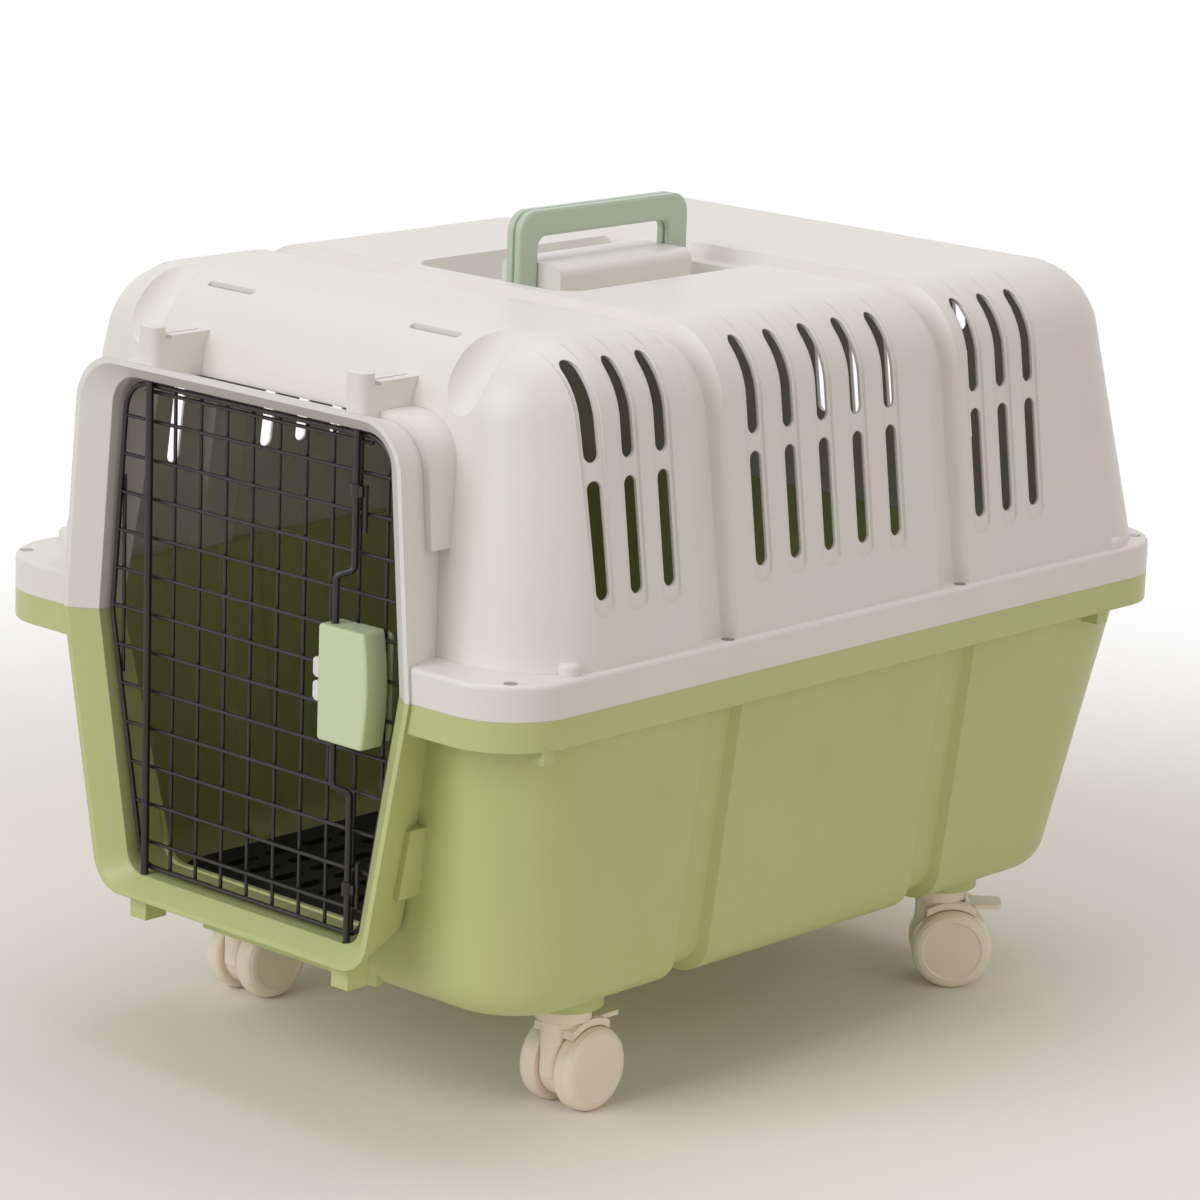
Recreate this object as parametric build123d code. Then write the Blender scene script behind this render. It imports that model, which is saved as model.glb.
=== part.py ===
# Wheeled dog crate: plastic tub and upper shell screwed together at a rim, a wire door
# with a two-way squeeze latch, two folding carry handles and four braked swivel casters.
from build123d import *
import os

os.makedirs("parts", exist_ok=True)

# Whole crate, in millimetres. Everything is drawn about the middle of the rim and then
# set back a little, so the doorway's lip and the rear rim lie equally far from the origin.
set_back = 1.0
rim_width = 450.0
rim_length = 621.0
rim_corner = 46.0
parting_z = 277.0
upper_rim_height = 21.0
lower_rim_height = 18.0
wall = 3.0

# Tub and shell ends: height, half width, front and back
tub_top = (parting_z, 214.0, -285.0, 306.0)
tub_bottom = (79.0, 190.0, -264.0, 262.0)
tub_corner = 56.0
tub_edge = 24.0
shell_bottom = (parting_z, 223.0, -285.0, 307.0)
shell_top = (478.0, 195.3, -257.7, 272.2)
shell_corner = 56.0
shell_edge = 50.0

# Channels pressed into the side walls: middle and width
shell_channels = [(-131.0, 26.0), (86.0, 24.0)]
tub_channels = [(-113.0, 26.0), (107.0, 26.0)]
shell_channel_depth = 9.0
tub_channel_depth = 5.0

# Ventilation slots, each pair of them in a shallow flute that fades out over the shoulder
slot_width = 10.0
flute_width = 15.5
flute_depth = 1.4
slot_rows = [(336.0, 403.0), (413.0, 468.0)]
side_slots = [-225.0, -197.0, -169.0, -89.0, -58.0, -27.0, 4.0, 35.0, 117.0, 144.0, 171.0]
back_slots = [-62.0, -31.0, 0.0, 31.0, 62.0]

# Doorway, hinge rod and bolts
lip_y = -312.5
throat_y = -301.0
rod_x = 88.0
rod_y = -298.5
rod_radius = 2.4
running_play = 0.08

# Door wires: the frame lies behind the rods, the upright wires behind the frame and the
# cross wires in front of the upright wires, between the frame's sides
wire = 1.15
frame_wire = 1.6
frame_y = rod_y + rod_radius + frame_wire
upright_y = frame_y + frame_wire + wire
cross_y = upright_y - 2 * wire

# Carry handles
handle_mid_y = -8.0
handle_length = 152.0
handle_top = 516.0
handle_pivot_x = 3.2
handle_pivot_z = 470.0
handle_bar = 16.0
handle_thick = 5.6
handle_pin = 1.5
recess_floor = 461.0

# Casters: swivel axis and heading in degrees
wheel_radius = 26.0
wheel_trail = 9.0
stem_radius = 5.5
casters = {
    "front_right": (139.0, -166.0, 0.0),
    "front_left": (-139.0, -166.0, 0.0),
    "rear_right": (137.0, 194.0, -47.5),
    "rear_left": (-137.0, 194.0, 0.0),
}


def save(name, shape):
    """Write one node, set back so that the outline is centred."""
    export_step(Pos(0, set_back, 0) * shape, f"parts/{name}.step")


def box(low, high):
    """Block between two opposite corners."""
    size = [b - a for a, b in zip(low, high)]
    middle = [(a + b) / 2 for a, b in zip(low, high)]
    return Pos(*middle) * Box(*size)


def bar_up(x, y, low, high, radius):
    """Round bar standing upright."""
    return Pos(x, y, (low + high) / 2) * Cylinder(radius, high - low)


def bar_across(y, z, low, high, radius):
    """Round bar lying along X."""
    return Pos((low + high) / 2, y, z) * Rot(0, 90, 0) * Cylinder(radius, high - low)


def bar_along(x, z, low, high, radius):
    """Round bar lying along Y."""
    return Pos(x, (low + high) / 2, z) * Rot(90, 0, 0) * Cylinder(radius, high - low)


def upright(face, y):
    """Stand a flat X and Z drawing upright at the given Y, facing the front."""
    return Plane(origin=(0, y, 0), x_dir=(1, 0, 0), z_dir=(0, -1, 0)) * face


def grown(level, inset):
    """One end of a tapered body, drawn in on every side."""
    z, half, front, back = level
    return z, half - inset, front + inset, back - inset


def tapered(low, high, corner, edge, round_top):
    """Four-sided tapered body with rounded corners and one rounded end."""
    faces = []
    for z, half, front, back in (low, high):
        faces.append(Pos(0, (front + back) / 2, z) * Rectangle(2 * half, back - front))
    body = loft(faces, ruled=True)
    body = fillet(body.edges().filter_by(lambda e: abs((e % 0.5).Z) > 0.5), corner)
    ends = body.edges().group_by(Axis.Z)
    return fillet(ends[-1] if round_top else ends[0], edge)


def trapezoid(low, high, inset, edge, round_top):
    """Front view of a tapered body, drawn in by a depth, with its rounded end corners."""
    half_low = low[1] - inset
    half_high = high[1] - inset
    z_low = low[0] + (0 if round_top else inset)
    z_high = high[0] - (inset if round_top else 0)
    face = make_face(
        Polyline(
            (-half_low, z_low), (half_low, z_low), (half_high, z_high), (-half_high, z_high), close=True
        )
    )
    rows = face.vertices().sort_by(Axis.Y)
    return fillet(rows[-2:] if round_top else rows[:2], edge)


def channelled(low, high, edge, round_top, channels, depth, widen):
    """Long form that presses the side channels into a tapered body."""
    stations = [(-340.0, -8.0)]
    for middle, width in channels:
        half = width / 2 + widen
        stations += [(middle - half - 7, -8.0), (middle - half + 2, depth)]
        stations += [(middle + half - 2, depth), (middle + half + 7, -8.0)]
    stations.append((340.0, -8.0))
    faces = [
        upright(trapezoid(low, high, inset, edge, round_top), y) for y, inset in stations
    ]
    return loft(faces, ruled=True)


def doorway_outline(top, middle, bottom, radii):
    """Six-sided doorway outline: half width and height of the top, widest and bottom points."""
    points = [(-bottom[0], bottom[1]), bottom, middle, top, (-top[0], top[1]), (-middle[0], middle[1])]
    rounding = [radii[2], radii[2], radii[1], radii[0], radii[0], radii[1]]
    face = make_face(Polyline(*points, close=True))
    for point, radius in zip(points, rounding):
        corner = face.vertices().sort_by_distance(Vector(point[0], point[1], 0))[0]
        face = fillet(corner, radius)
    return face


# Doorway surround, one ring shared by the tub and the shell, with bosses for the rods
lip = doorway_outline((135.5, 436), (148.5, parting_z), (115, 107), (32, 30, 24))
root = doorway_outline((124.5, 425), (137.5, parting_z), (104, 118), (24, 24, 18))
mouth = doorway_outline((132, 432.5), (145, parting_z), (111.5, 110.5), (29, 27, 21))
throat = doorway_outline((117, 424), (129, parting_z), (99, 119), (20, 20, 14))
gusset = doorway_outline((134, 434), (146, parting_z), (112, 110), (30, 28, 22))
ring = loft([upright(lip, lip_y), upright(root, -272)], ruled=True)
gussets = extrude(upright(gusset, -289), -25)
for side in (-1, 1):
    for low, high in ((360, 460), (150, 194)):
        ring += gussets & box((side * 150 - 54, -300, low), (side * 150 + 54, -200, high))
for x in (-rod_x, rod_x):
    post = box((x - 8, -303, 422), (x + 8, -254, 456))
    post = fillet(post.edges().filter_by(Axis.Z).group_by(Axis.Y)[0], 5)
    post -= box((x - 10, -289, 450.5), (x + 10, -250, 460))
    post -= box((x - 10, -294, 448.5), (x + 10, -289, 460))
    ring += post - box((x - 0.8, -286, 449), (x + 0.8, -260, 460))
    ring += box((x - 7, -303.5, 92), (x + 7, -287, 121))
doorway = extrude(upright(throat, throat_y), -62)
funnel = loft([upright(mouth, lip_y - 0.01), upright(throat, throat_y + 0.01)], ruled=True)
rod_bores = Part() + [
    bar_up(x, rod_y, low, high, rod_radius + running_play)
    for x in (-rod_x, rod_x)
    for low, high in ((102, 122), (420, 444))
]

# Lower tub
below = box((-300, -400, 0), (300, 400, parting_z))
tub = tapered(tub_bottom, tub_top, tub_corner, tub_edge, False)
tub = tub & channelled(tub_bottom, tub_top, tub_edge, False, tub_channels, tub_channel_depth, 0)
rim_outline = RectangleRounded(rim_width, rim_length, rim_corner)
tub += Pos(0, 0, parting_z - lower_rim_height) * extrude(rim_outline, lower_rim_height)
tub += ring & below
for x, y, heading in casters.values():
    tub += bar_up(x, y, 66, 90, 24)
for side in (-1, 1):
    for y in (-275, 237):
        tub += box((side * 215 - 8, y - 5, 251), (side * 215 + 8, y + 5, 262))
tub_inside = tapered(
    grown((tub_bottom[0] + wall,) + tub_bottom[1:], wall),
    grown((parting_z + 1,) + tub_top[1:], wall),
    tub_corner - wall,
    tub_edge - wall,
    False,
)
tub_inside = tub_inside & channelled(
    tub_bottom,
    tub_top,
    tub_edge - wall,
    False,
    tub_channels,
    tub_channel_depth + wall,
    wall,
)
tub -= tub_inside
tub -= doorway
tub -= funnel
tub -= rod_bores
for x, y, heading in casters.values():
    tub -= bar_up(x, y, 60, 79, stem_radius + running_play)
for step in range(4):
    tub += box((-76, -261 + 10 * step, 80), (76, -256 + 10 * step, 106 - 4 * step))

# Upper shell
above = box((-300, -400, parting_z), (300, 400, 520))
shell = tapered(shell_bottom, shell_top, shell_corner, shell_edge, True)
shell = shell & channelled(
    shell_bottom, shell_top, shell_edge, True, shell_channels, shell_channel_depth, 0
)


def roof_recess(grow):
    """Well in the roof that the handles fold into."""
    floor = RectangleRounded(120 + 2 * grow, 180 + 2 * grow, 12 + grow)
    return Pos(0, -10, recess_floor - grow) * extrude(floor, 40, taper=-22)


def shoulder_scallops(grow):
    """Scooped hollow over each end of the front shoulder."""
    return Part() + [
        Pos(side * 134, -248, 472) * Rot(-45, 0, 0) * Cylinder(16 + grow, 110) for side in (-1, 1)
    ]


shell -= roof_recess(0)
shell -= shoulder_scallops(0)
upper_rim = Pos(0, 0, parting_z) * extrude(rim_outline, upper_rim_height)
upper_rim = fillet(upper_rim.edges().group_by(Axis.Z)[-1], 3)
shell += upper_rim
for side in (-1, 1):
    for x, y in ((214, -252), (216, 251)):
        nub = bar_up(side * x, y, 290, 305, 6.5)
        shell += fillet(nub.edges().group_by(Axis.Z)[-1], 3)
shell += ring & above
shell_inside = tapered(
    grown((parting_z - 1,) + shell_bottom[1:], wall),
    grown((shell_top[0] - wall,) + shell_top[1:], wall),
    shell_corner - wall,
    shell_edge - wall,
    True,
)
shell_inside = shell_inside & channelled(
    shell_bottom, shell_top, shell_edge - wall, True, shell_channels, shell_channel_depth + wall, wall
)
shell_inside -= roof_recess(wall)
shell_inside -= shoulder_scallops(wall)
shell -= shell_inside
hinge_block = box((-25, -67.5, recess_floor - 1), (25, 51.5, 484))
hinge_block = fillet(hinge_block.edges().filter_by(Axis.Y).group_by(Axis.Z)[-1], 7)
shell += hinge_block
shell -= doorway
shell -= funnel
shell -= rod_bores
for side in (-1, 1):
    shell -= bar_along(side * handle_pivot_x, handle_pivot_z, -75, 60, handle_pin)

# Flutes and slots in both side walls and the back wall, and two slits in the front shoulder
fluted = tapered(
    (shell_bottom[0], shell_bottom[1] - flute_depth) + shell_bottom[2:],
    (shell_top[0] + 0.3, shell_top[1] - flute_depth) + shell_top[2:],
    shell_corner,
    shell_edge,
    True,
)
flute = SlotOverall(220, flute_width, rotation=90)
flutes = []
for y in side_slots:
    flute_plane = Plane(origin=(150, y, 437), x_dir=(0, 1, 0), z_dir=(1, 0, 0))
    flutes.append(extrude(flute_plane * flute, 90))
    flutes.append(Pos(-390, 0, 0) * extrude(flute_plane * flute, 90))
shell -= (Part() + flutes) - fluted
slots = []
for low, high in slot_rows:
    outline = SlotOverall(high - low, slot_width, rotation=90)
    middle = (low + high) / 2
    for y in side_slots:
        side_plane = Plane(origin=(-260, y, middle), x_dir=(0, 1, 0), z_dir=(1, 0, 0))
        slots.append(extrude(side_plane * outline, 110))
        slots.append(Pos(410, 0, 0) * extrude(side_plane * outline, 110))
    for x in back_slots:
        back_plane = Plane(origin=(x, 240, middle), x_dir=(-1, 0, 0), z_dir=(0, 1, 0))
        slots.append(extrude(back_plane * outline, 90))
for side in (-1, 1):
    slots.append(Pos(side * 86, -236, 469.6) * extrude(SlotOverall(40, 4.5), 40))
shell -= slots

# Rim screws: pan heads in shallow seats on the shell's rim, threaded into the tub's rim
screws = []
seats = []
for side in (-1, 1):
    for x, y in ((218, -122), (218, 94), (207, -292), (206, 290)):
        screws.append(bar_up(side * x, y, 264, 297, 1.7) + bar_up(side * x, y, 295.5, 298, 3.4))
        seats.append(bar_up(side * x, y, 270, 296, 1.8) + bar_up(side * x, y, 295.5, 310, 4.0))
        tub -= bar_up(side * x, y, 264, 280, 1.7)
shell -= seats
save("lower_tub", tub)
save("upper_shell", shell)
save("rim_screws", Compound(screws))

# Floor mat: a slotted plate on short feet
mat_low = 91.0
mat_high = 95.0
mat = box((-150, -226, mat_low), (150, 214, mat_high))
mat = fillet(mat.edges().filter_by(Axis.Z), 30)
with BuildSketch() as mat_slots:
    with GridLocations(21, 32, 13, 12):
        SlotOverall(24, 9, rotation=90)
mat -= Pos(0, -6, mat_low - 5) * extrude(mat_slots.sketch, 20)
for x in (-115.5, -10.5, 115.5):
    for y in (-166, -6, 154):
        mat += bar_up(x, y, tub_bottom[0] + wall, mat_low + 1, 4)
save("floor_mat", mat)

# Door: a bent frame wire with cross wires between its sides and upright wires behind
door_low = 123.0
door_high = 420.0
door_outline = doorway_outline((112, door_high), (124, parting_z), (95, door_low), (20, 16, 14))
path = upright(door_outline, frame_y).faces()[0].outer_wire()
frame_section = Plane(origin=path @ 0, z_dir=path % 0) * Circle(frame_wire)
save("door_frame_wire", sweep(frame_section, path))


def half_width_at(z):
    """Half width of the frame wire at a height."""
    if z > parting_z:
        return 124 - 12 * (z - parting_z) / (door_high - parting_z)
    return 124 - 29 * (parting_z - z) / (parting_z - door_low)


cross_wires = []
for row in range(13):
    z = 416.0 - 23.6 * row + (5.8 if row else 0.0)
    half = half_width_at(z) - frame_wire - 0.2
    half -= 14 if row == 0 else 0
    cross_wires.append(bar_across(cross_y, z, -half, half, wire))
save("door_cross_wires", Compound(cross_wires))

upright_wires = []
for x in (-117, -95, -72.5, -50, -27.5, -5, 17.5, 40, 62.5, 85, 107.5):
    low = max(door_low, parting_z - (124 - abs(x)) * 5.3)
    high = min(door_high, parting_z + (124 - abs(x)) * 11.9)
    upright_wires.append(bar_up(x, upright_y, low - 0.8, high + 0.8, wire))
save("door_upright_wires", Compound(upright_wires))

hinge_rod = bar_up(-rod_x, rod_y, 106, 438, rod_radius)
save("door_hinge_rod", chamfer(hinge_rod.edges(), 0.8))

# Latch cover in front of the wires, with a back plate clamped on behind them
slide_x = 80.0
slide_y = -305.0
latch_z = 275.5
bolt_radius = 2.1
plate_y = upright_y + wire + 0.1
cover_x = (73.4, 113.4)
cover_z = (241.0, 310.0)
cover_back = cross_y - wire - 0.2
cover = box((cover_x[0], lip_y, cover_z[0]), (cover_x[1], cover_back, cover_z[1]))
bow = Pos(cover_x[1] - 170, -305, 275.5) * Rot(90, 0, 0) * Cylinder(170, 60)
cover = fillet((cover & bow).edges().filter_by(Axis.Y), 2.5)
cover = fillet(cover.edges().group_by(Axis.Y)[0], 2)
cover -= box((76, -310, 246), (100, cover_back + 1, 305))
cover -= box((70, -309.3, 250), (80, -300.7, 301))
for low, high in ((240, 247), (304, 311)):
    cover -= bar_up(slide_x, slide_y, low, high, bolt_radius + 0.5)
plate = box((76, plate_y, 243), (111, plate_y + 2, 308))
plate = fillet(plate.edges().filter_by(Axis.Y), 4)
for z in (248, 292):
    cover += bar_along(103, z, cover_back - 1, plate_y + 2.8, 1.8)
    plate -= bar_along(103, z, -300, -280, 1.8)
save("latch_cover", cover)
save("latch_back_plate", plate)


# Thumb slides: each carries a bolt that runs on, bends back and enters the surround
def thumb_slide(direction):
    """White slide with a thumb tab; direction is +1 above and -1 below."""
    near = 275.5 + direction * 1.0
    body = box((76.4, -309, 276.5), (86, -301, 292.5))
    tab = box((66, -308.6, 276.5), (77, -301.4, 288.5))
    tab = fillet(tab.edges().filter_by(Axis.Y).group_by(Axis.X)[0], 3)
    slide = body + tab
    slide -= bar_up(slide_x, slide_y, 270, 280.2, 3.0)
    slide -= bar_up(slide_x, slide_y, 280, 300, bolt_radius + 0.03)
    return slide if direction > 0 else mirror(slide, Plane.XY.offset(latch_z))


def bolt(direction, far):
    """Bent bolt from the slide to the surround."""
    start = (slide_x, slide_y, latch_z + direction * 5.0)
    bend_near = (slide_x, slide_y, latch_z + direction * 62.5)
    bend_far = (rod_x, rod_y, latch_z + direction * 66.0)
    line = FilletPolyline(start, bend_near, bend_far, (rod_x, rod_y, far), radius=4)
    section = Plane(origin=start, z_dir=(0, 0, direction)) * Circle(bolt_radius)
    return sweep(section, line)


save("latch_slide_upper", thumb_slide(1))
save("latch_slide_lower", thumb_slide(-1))
save("latch_bolt_upper", bolt(1, 423.4))
save("latch_bolt_lower", bolt(-1, 119.6))

# Guide eyes that hold the bolts, each on an upright staple welded to the cross wires
guides = []
for z, low, high in ((388.0, 364.0, 392.0), (152.0, 141.0, 168.0)):
    eye = bar_up(rod_x, rod_y, z - 4, z + 4, 3.6)
    eye += box((rod_x, rod_y - 1.5, z - 3), (rod_x + 6, rod_y + 1.2, z + 3))
    eye += bar_up(rod_x + 6, cross_y - wire - 1.5, low, high, 1.5)
    eye -= bar_up(rod_x, rod_y, z - 10, z + 10, bolt_radius + running_play)
    guides.append(eye)
save("bolt_guides", Compound(guides))

# Carry handles: two U shaped bails that stand side by side and fold outwards
for side, name in ((1, "right"), (-1, "left")):
    outline = make_face(
        Polyline(
            (handle_mid_y - handle_length / 2, handle_pivot_z - handle_thick / 2),
            (handle_mid_y + handle_length / 2, handle_pivot_z - handle_thick / 2),
            (handle_mid_y + handle_length / 2, handle_top),
            (handle_mid_y - handle_length / 2, handle_top),
            close=True,
        )
    )
    outline = fillet(outline.vertices().sort_by(Axis.Y)[-2:], 13)
    inner = Pos(handle_mid_y, (handle_pivot_z - 20 + handle_top - handle_bar) / 2) * Rectangle(
        handle_length - 2 * handle_bar, handle_top - handle_bar - handle_pivot_z + 20
    )
    inner = fillet(inner.vertices().sort_by(Axis.Y)[-2:], 7)
    stand = Plane(origin=(side * handle_pivot_x, 0, 0), x_dir=(0, 1, 0), z_dir=(1, 0, 0))
    bail = extrude(stand * (outline - inner), handle_thick / 2, both=True)
    bail = fillet(bail.edges().filter_by(Axis.Y).group_by(Axis.Z)[0], 2.6)
    for face_x in (side * handle_pivot_x - handle_thick / 2, side * handle_pivot_x + handle_thick / 2):
        rim_edges = bail.edges().filter_by(lambda e: abs((e @ 0.5).X - face_x) < 0.01)
        bail = chamfer(rim_edges, 0.8)
    bail -= bar_along(side * handle_pivot_x, handle_pivot_z, -100, 90, handle_pin + running_play)
    save(f"handle_{name}", bail)
    pin = bar_along(side * handle_pivot_x, handle_pivot_z, -82.5, 66.5, handle_pin)
    save(f"handle_pin_{name}", pin)


# Return spring between the two thumb slides, drawn in the squeezed state
spring_length = 8.2
spring_wire = 0.8
coil = Pos(slide_x, slide_y, latch_z - spring_length / 2) * Helix(2.05, spring_length, 2.3)
coil_section = Plane(origin=coil @ 0, z_dir=coil % 0) * Circle(spring_wire / 2)
save("latch_spring", sweep(coil_section, coil, is_frenet=True))
points = [coil @ (step / 160) for step in range(161)]
gap = min((a - b).length for i, a in enumerate(points) for b in points[i + 25:]) - spring_wire
print(f"least gap between the spring's coils {gap:.2f} mm")


# Casters: twin wheels each side of a moulded body that turns on an upright stem
pedal_y = 18.0
pedal_z = 53.5
pedal_pin = 1.2
hub = (wheel_trail, wheel_radius)
axle_radius = 3.0
axle_half = 18.6


def caster_body():
    """Collar under the socket, neck and hub web, with a short mudguard behind the neck."""
    neck = box((-7.6, -15, 22), (7.6, 14, 58))
    neck = fillet(neck.edges().filter_by(Axis.Z).group_by(Axis.Y)[0], 6)
    body = bar_across(*hub, -7.6, 7.6, 21) + neck
    guard = bar_across(*hub, -16, 16, 31.2) - bar_across(*hub, -30, 30, 26.7)
    guard -= box((-10.5, 13, 44), (10.5, 60, 70))
    body += guard & box((-16, -8, 44), (16, 24, 60))
    body += bar_up(0, 0, 53, 58, 13.5) + bar_up(0, 0, 57, 65.4, 17)
    body -= bar_up(0, 0, 54, 70, stem_radius)
    body -= bar_across(*hub, -30, 30, axle_radius)
    body -= bar_across(pedal_y, pedal_z, -14, 14, pedal_pin)
    return body


def caster_wheel():
    """Outer wheel with a closed face, a rounded shoulder and a shallow disc."""
    bore = axle_radius + running_play
    rim = [(8, bore), (8, 24.5), (9.5, 26), (17, 26), (19.6, 24.9), (21.3, 22.6), (22, 19.5)]
    rim += [(21.4, 18.5), (21.4, 0), (axle_half + 0.4, 0), (axle_half + 0.4, bore)]
    return revolve(Plane.XY * make_face(Polyline(*rim, close=True)), Axis.X, 360)


def brake_pedal():
    """Pedal with a tooth above the wheels, turning on a cross pin."""
    pedal = box((-10, 16.5, 52), (10, 41, 55))
    pedal = fillet(pedal.edges().filter_by(Axis.Z).group_by(Axis.Y)[-1], 5)
    pedal += box((-10, 22, 50.2), (10, 26, 52.5))
    pedal += bar_across(pedal_y, pedal_z, -10, 10, 2.6)
    return pedal - bar_across(pedal_y, pedal_z, -14, 14, pedal_pin + running_play)


for corner, (x, y, heading) in casters.items():
    place = Pos(x, y, 0) * Rot(0, 0, heading)
    at_hub = place * Pos(0, *hub)
    save(f"caster_body_{corner}", place * caster_body())
    save(f"caster_stem_{corner}", place * bar_up(0, 0, 54, 78, stem_radius))
    save(f"wheel_axle_{corner}", place * bar_across(*hub, -axle_half, axle_half, axle_radius))
    save(f"wheel_outer_{corner}", at_hub * caster_wheel())
    save(f"wheel_inner_{corner}", at_hub * Rot(0, 0, 180) * caster_wheel())
    save(f"brake_pedal_{corner}", place * brake_pedal())
    save(f"brake_pin_{corner}", place * bar_across(pedal_y, pedal_z, -14, 14, pedal_pin))
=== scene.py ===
import bpy
from math import cos, radians, sin
from mathutils import Matrix, Vector

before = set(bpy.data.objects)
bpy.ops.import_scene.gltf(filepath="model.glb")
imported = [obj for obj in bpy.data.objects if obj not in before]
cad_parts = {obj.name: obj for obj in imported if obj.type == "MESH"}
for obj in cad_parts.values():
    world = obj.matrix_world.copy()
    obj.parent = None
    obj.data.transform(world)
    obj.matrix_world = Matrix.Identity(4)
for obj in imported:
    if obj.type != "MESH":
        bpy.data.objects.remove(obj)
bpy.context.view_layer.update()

# Upper shell: one white polypropylene moulding with vent slots, side channels and a well
# in the roof. Moulded against a lightly etched steel tool, so the surface is satin with a
# fine grain and very faint flow variation, and a little light sinks into it.


def linear(hex_code):
    """Linear colour of an sRGB hex value."""
    parts = [int(hex_code[i:i + 2], 16) / 255 for i in (1, 3, 5)]
    return [c / 12.92 if c <= 0.04045 else ((c + 0.055) / 1.055) ** 2.4 for c in parts] + [1.0]


def add(tree, kind, settings=None, links=None):
    """Add a node, set its values and sockets, and link its inputs."""
    node = tree.nodes.new(kind)
    for key, value in (settings or {}).items():
        if isinstance(key, str) and hasattr(node, key):
            setattr(node, key, value)
        else:
            node.inputs[key].default_value = value
    for key, socket in (links or {}).items():
        tree.links.new(socket, node.inputs[key])
    return node


def start_material(name):
    """Empty material with its Principled shader, and the object's own coordinates."""
    material = bpy.data.materials.new(name)
    material.use_nodes = True
    tree = material.node_tree
    shader = tree.nodes["Principled BSDF"]
    place = add(tree, "ShaderNodeTexCoord").outputs["Object"]
    return material, tree, shader, place


# Flow marks and gloss patches as far apart as on a large moulding. The real tool grain is
# about 0.1 mm and would not show, so each plastic's grain is drawn 0.5 mm or coarser.
flow_mm = 70.0
gloss_patch_mm = 9.0
gloss_spread = 0.05
polymer_ior = 1.49
sink_reach = (0.004, 0.004, 0.003)


def moulded_plastic(
    name, light, dark, roughness, grain_mm=0.5, grain_depth_mm=0.012, sink=0.0, edge_mm=0.9
):
    """Injection moulded plastic: slow flow variation, fine tool grain and broken edges."""
    material, tree, shader, place = start_material(name)
    flow = add(
        tree,
        "ShaderNodeTexNoise",
        {"Scale": 1000 / flow_mm, "Detail": 2.0, "Roughness": 0.4},
        {"Vector": place},
    )
    colour = add(
        tree,
        "ShaderNodeMix",
        {"data_type": "RGBA", 6: linear(light), 7: linear(dark)},
        {0: flow.outputs["Fac"]},
    )
    tree.links.new(colour.outputs[2], shader.inputs["Base Color"])
    patches = add(
        tree,
        "ShaderNodeTexNoise",
        {"Scale": 1000 / gloss_patch_mm, "Detail": 3.0},
        {"Vector": place},
    )
    gloss = add(
        tree,
        "ShaderNodeMapRange",
        {"To Min": roughness - gloss_spread, "To Max": roughness + gloss_spread},
        {"Value": patches.outputs["Fac"]},
    )
    tree.links.new(gloss.outputs["Result"], shader.inputs["Roughness"])
    grain = add(tree, "ShaderNodeTexNoise", {"Scale": 1000 / grain_mm, "Detail": 2.0}, {"Vector": place})
    rounded = add(tree, "ShaderNodeBevel", {"samples": 4, "Radius": edge_mm / 1000})
    relief = add(
        tree,
        "ShaderNodeBump",
        {"Strength": 0.5, "Distance": grain_depth_mm / 1000},
        {"Height": grain.outputs["Fac"], "Normal": rounded.outputs["Normal"]},
    )
    tree.links.new(relief.outputs["Normal"], shader.inputs["Normal"])
    shader.inputs["IOR"].default_value = polymer_ior
    shader.inputs["Subsurface Weight"].default_value = sink
    shader.inputs["Subsurface Radius"].default_value = sink_reach
    return material


def finish_node(name, material):
    """Give a node of the frame its material."""
    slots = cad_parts[name].data.materials
    slots.clear()
    slots.append(material)


white_polypropylene = moulded_plastic(
    "satin_white_polypropylene", "#E9E5DE", "#E3DFD7", roughness=0.38, sink=0.04
)
finish_node("upper_shell", white_polypropylene)

# Lower tub: the same moulding process in a light leaf green polypropylene, slightly glossier
# than the shell. It carries the caster sockets and the ribbed sill.
green_polypropylene = moulded_plastic(
    "satin_leaf_green_polypropylene", "#C2C98A", "#BAC281", roughness=0.36, sink=0.04
)
finish_node("lower_tub", green_polypropylene)

# Floor mat: slotted black polypropylene plate that lies loose in the tub, with a coarser
# matt grain so that paws grip.
mat_plastic = moulded_plastic(
    "grained_black_polypropylene",
    "#24221F",
    "#1C1B19",
    roughness=0.6,
    grain_mm=0.8,
    grain_depth_mm=0.05,
)
finish_node("floor_mat", mat_plastic)

# Door: straight and bent mild steel wire, spot welded where it crosses and dipped in black
# epoxy. The dried coat is semi gloss, a little uneven in its black, with a slight orange peel.
coat_drift_mm = 6.0
peel_mm = 1.2
peel_depth_mm = 0.04


def epoxy_coated_wire(name):
    """Dipped epoxy on steel wire: near black, semi gloss, gently uneven."""
    material, tree, shader, place = start_material(name)
    drift = add(
        tree, "ShaderNodeTexNoise", {"Scale": 1000 / coat_drift_mm, "Detail": 3.0}, {"Vector": place}
    )
    colour = add(
        tree,
        "ShaderNodeMix",
        {"data_type": "RGBA", 6: linear("#2B2623"), 7: linear("#191614")},
        {0: drift.outputs["Fac"]},
    )
    tree.links.new(colour.outputs[2], shader.inputs["Base Color"])
    peel = add(tree, "ShaderNodeTexNoise", {"Scale": 1000 / peel_mm, "Detail": 1.0}, {"Vector": place})
    relief = add(
        tree,
        "ShaderNodeBump",
        {"Strength": 0.6, "Distance": peel_depth_mm / 1000},
        {"Height": peel.outputs["Fac"]},
    )
    tree.links.new(relief.outputs["Normal"], shader.inputs["Normal"])
    shader.inputs["Roughness"].default_value = 0.34
    shader.inputs["IOR"].default_value = 1.5
    return material


black_epoxy = epoxy_coated_wire("black_epoxy_coated_steel_wire")
door_wires = ["door_frame_wire", "door_cross_wires", "door_upright_wires", "door_hinge_rod"]
for name in door_wires + ["bolt_guides", "latch_bolt_upper", "latch_bolt_lower"]:
    finish_node(name, black_epoxy)

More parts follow.
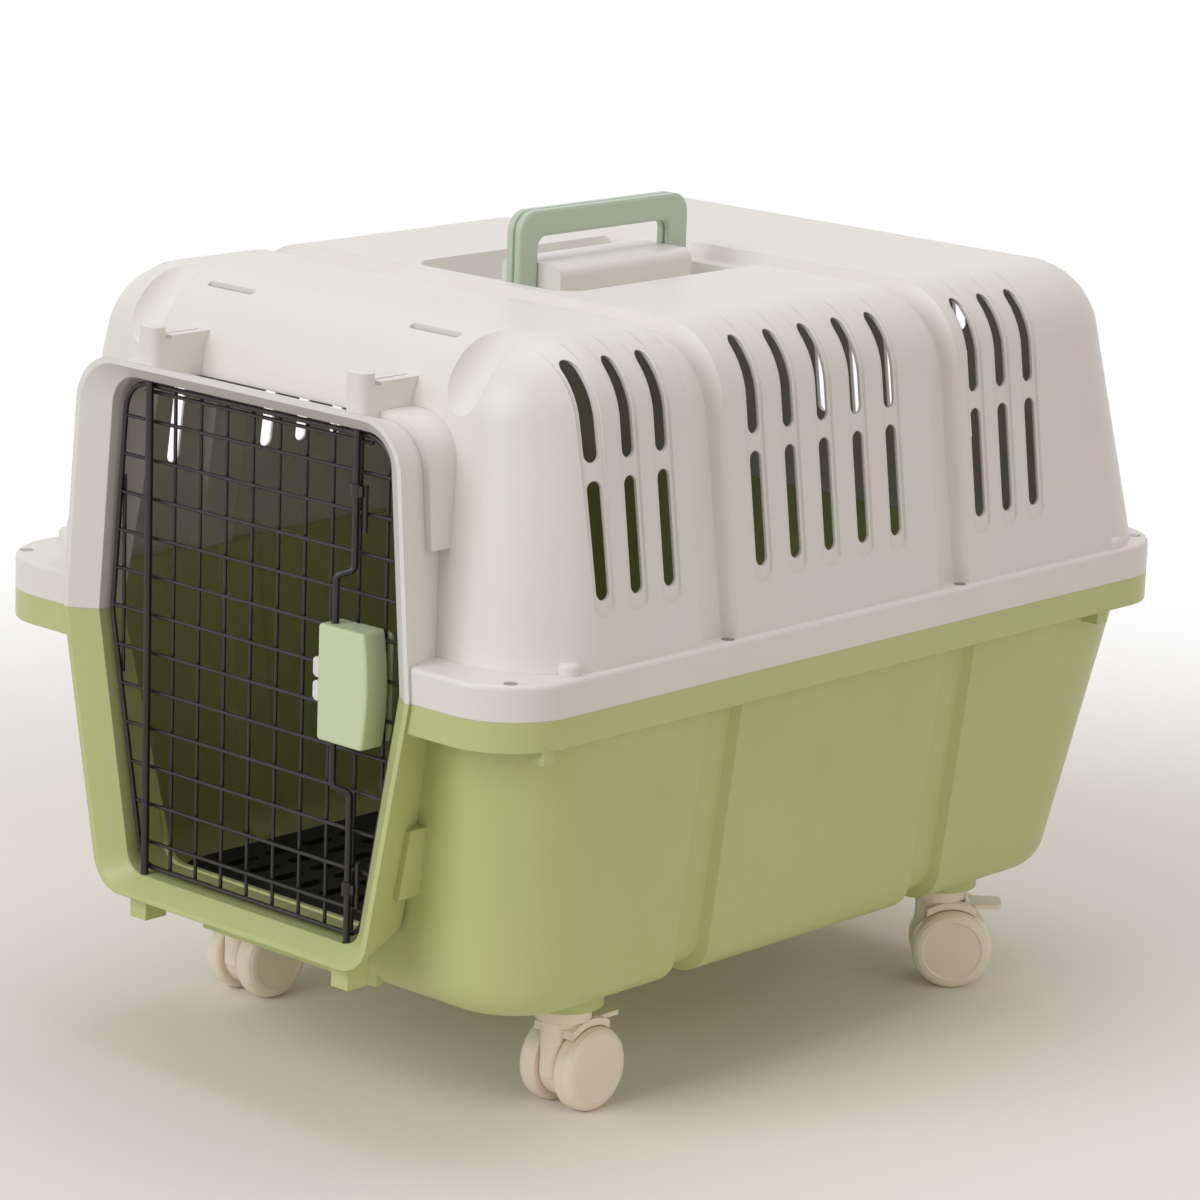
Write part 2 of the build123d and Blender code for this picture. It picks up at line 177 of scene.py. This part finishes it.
# Latch: pale green cover and back plate clipped round the wires, and two white acetal
# slides with thumb tabs. Small smooth mouldings, a touch glossier than the shell.
latch_green = moulded_plastic(
    "satin_pale_green_polypropylene", "#D2DCB4", "#CAD5AA", roughness=0.34
)
finish_node("latch_cover", latch_green)
finish_node("latch_back_plate", latch_green)
white_acetal = moulded_plastic("smooth_white_acetal", "#E9E7E3", "#E2E0DB", roughness=0.3)
finish_node("latch_slide_upper", white_acetal)
finish_node("latch_slide_lower", white_acetal)

# Rim screws, handle pins and the latch's spring: drawn steel with a dull zinc coat, which
# is a slightly mottled grey. The casters' stems, axles and pins have the same finish.
mottle_mm = 2.5


def zinc_plated_steel(name):
    """Metal with a fine mottled colour and roughness."""
    material, tree, shader, place = start_material(name)
    mottle = add(tree, "ShaderNodeTexNoise", {"Scale": 1000 / mottle_mm, "Detail": 4.0}, {"Vector": place})
    colour = add(
        tree,
        "ShaderNodeMix",
        {"data_type": "RGBA", 6: linear("#B9B8B4"), 7: linear("#8E8D89")},
        {0: mottle.outputs["Fac"]},
    )
    tree.links.new(colour.outputs[2], shader.inputs["Base Color"])
    gloss = add(
        tree, "ShaderNodeMapRange", {"To Min": 0.25, "To Max": 0.45}, {"Value": mottle.outputs["Fac"]}
    )
    tree.links.new(gloss.outputs["Result"], shader.inputs["Roughness"])
    shader.inputs["Metallic"].default_value = 1.0
    return material


zinc_steel = zinc_plated_steel("dull_zinc_plated_steel")
for name in ("rim_screws", "latch_spring", "handle_pin_left", "handle_pin_right"):
    finish_node(name, zinc_steel)

# Carry handles: two flat U shaped bails in sage green polypropylene with chamfered edges,
# which turn on pins in the roof and meet in the hand. A little glossier than the tub.
sage_polypropylene = moulded_plastic(
    "satin_sage_green_polypropylene", "#C0CDB8", "#B8C5AF", roughness=0.34, sink=0.03
)
finish_node("handle_left", sage_polypropylene)
finish_node("handle_right", sage_polypropylene)

# Casters: cream nylon bodies, brake pedals and twin wheels on plain steel stems, axles and
# pins. The mouldings are smooth and slightly waxy, with hardly any grain.
cream_nylon = moulded_plastic(
    "smooth_cream_nylon",
    "#F6EAD9",
    "#F1E3D0",
    roughness=0.36,
    grain_mm=0.6,
    grain_depth_mm=0.01,
    sink=0.05,
)
for corner in ("front_right", "front_left", "rear_right", "rear_left"):
    for part in ("caster_body", "wheel_outer", "wheel_inner", "brake_pedal"):
        finish_node(f"{part}_{corner}", cream_nylon)
    for part in ("caster_stem", "wheel_axle", "brake_pin"):
        finish_node(f"{part}_{corner}", zinc_steel)

# Floor: a pale matt sheet that keeps the object's shadow and thins out to the plain white
# surroundings further away.
floor_side = 6
floor_full_to = 0.45
floor_gone_from = 1.3
floor_material, tree, shader, place = start_material("pale_matt_floor")
shader.inputs["Base Color"].default_value = linear("#F4EEE7")
shader.inputs["Roughness"].default_value = 0.8
reach = add(tree, "ShaderNodeVectorMath", {"operation": "LENGTH"}, {0: place})
thin = add(
    tree,
    "ShaderNodeMapRange",
    {"interpolation_type": "SMOOTHSTEP", "From Min": floor_full_to, "From Max": floor_gone_from},
    {"Value": reach.outputs["Value"]},
)
clear = add(tree, "ShaderNodeBsdfTransparent")
sheet = add(
    tree,
    "ShaderNodeMixShader",
    {},
    {0: thin.outputs["Result"], 1: shader.outputs["BSDF"], 2: clear.outputs["BSDF"]},
)
tree.links.new(sheet.outputs["Shader"], tree.nodes["Material Output"].inputs["Surface"])
bpy.ops.mesh.primitive_plane_add(size=floor_side)
floor = bpy.context.object
floor.name = "floor"
floor.data.materials.append(floor_material)

# Surroundings: a low warm dome lights the object evenly, while the background and what
# gloss and metal mirror of it are plain white.
world = bpy.data.worlds.new("studio")
world.use_nodes = True
bpy.context.scene.world = world
sky = world.node_tree
sky.nodes.clear()
rays = add(sky, "ShaderNodeLightPath")
direct = add(
    sky,
    "ShaderNodeMath",
    {"operation": "MAXIMUM"},
    {0: rays.outputs["Is Camera Ray"], 1: rays.outputs["Is Transmission Ray"]},
)
seen = add(
    sky,
    "ShaderNodeMath",
    {"operation": "MAXIMUM"},
    {0: direct.outputs[0], 1: rays.outputs["Is Glossy Ray"]},
)
dome = add(sky, "ShaderNodeBackground", {"Color": linear("#FFFBF6"), "Strength": 0.36})
white = add(sky, "ShaderNodeBackground", {"Color": (1, 1, 1, 1), "Strength": 1.0})
blend = add(sky, "ShaderNodeMixShader", {}, {0: seen.outputs[0], 1: dome.outputs[0], 2: white.outputs[0]})
add(sky, "ShaderNodeOutputWorld", {}, {"Surface": blend.outputs[0]})

# Lights: a large cool one in front, a wide one overhead, and a weak warm fill at the right.


def soft_lamp(name, place, target, size, power, tint):
    """Large square light aimed at a point."""
    data = bpy.data.lights.new(name, "AREA")
    data.color = linear(tint)[:3]
    data.size = size
    data.energy = power
    lamp = bpy.data.objects.new(name, data)
    lamp.location = place
    lamp.rotation_euler = (Vector(target) - Vector(place)).to_track_quat("-Z", "Y").to_euler()
    bpy.context.scene.collection.objects.link(lamp)


soft_lamp("window_lamp", (-0.4, -3.1, 1.9), (0, 0, 0.25), size=2.0, power=56, tint="#F4F8FF")
soft_lamp("top_lamp", (0.0, 0.4, 3.0), (0, 0, 0.3), size=2.4, power=30, tint="#F8FAFF")
soft_lamp("fill_lamp", (2.7, -0.2, 1.0), (0, 0, 0.25), size=2.4, power=11, tint="#FFF4E6")

# Camera: a long lens from the front right, a little above the roof, rolled two degrees.
azimuth = radians(42.4546)
elevation = radians(13.7608)
roll = radians(2.0413)
distance = 2.85233
target = Vector((0.0014, 0.0047, 0.2601))
lens_mm = 135
sensor_mm = 36
back = Vector((sin(azimuth) * cos(elevation), -cos(azimuth) * cos(elevation), sin(elevation)))
level_right = Vector((cos(azimuth), sin(azimuth), 0))
level_up = back.cross(level_right)
right = level_right * cos(roll) + level_up * sin(roll)
up = level_up * cos(roll) - level_right * sin(roll)
camera_data = bpy.data.cameras.new("camera")
camera_data.lens = lens_mm
camera_data.sensor_width = sensor_mm
camera = bpy.data.objects.new("camera", camera_data)
pose = Matrix((right, up, back)).transposed().to_4x4()
pose.translation = target + back * distance
camera.matrix_world = pose
bpy.context.scene.collection.objects.link(camera)
bpy.context.scene.camera = camera
bpy.context.scene.view_settings.view_transform = "Standard"
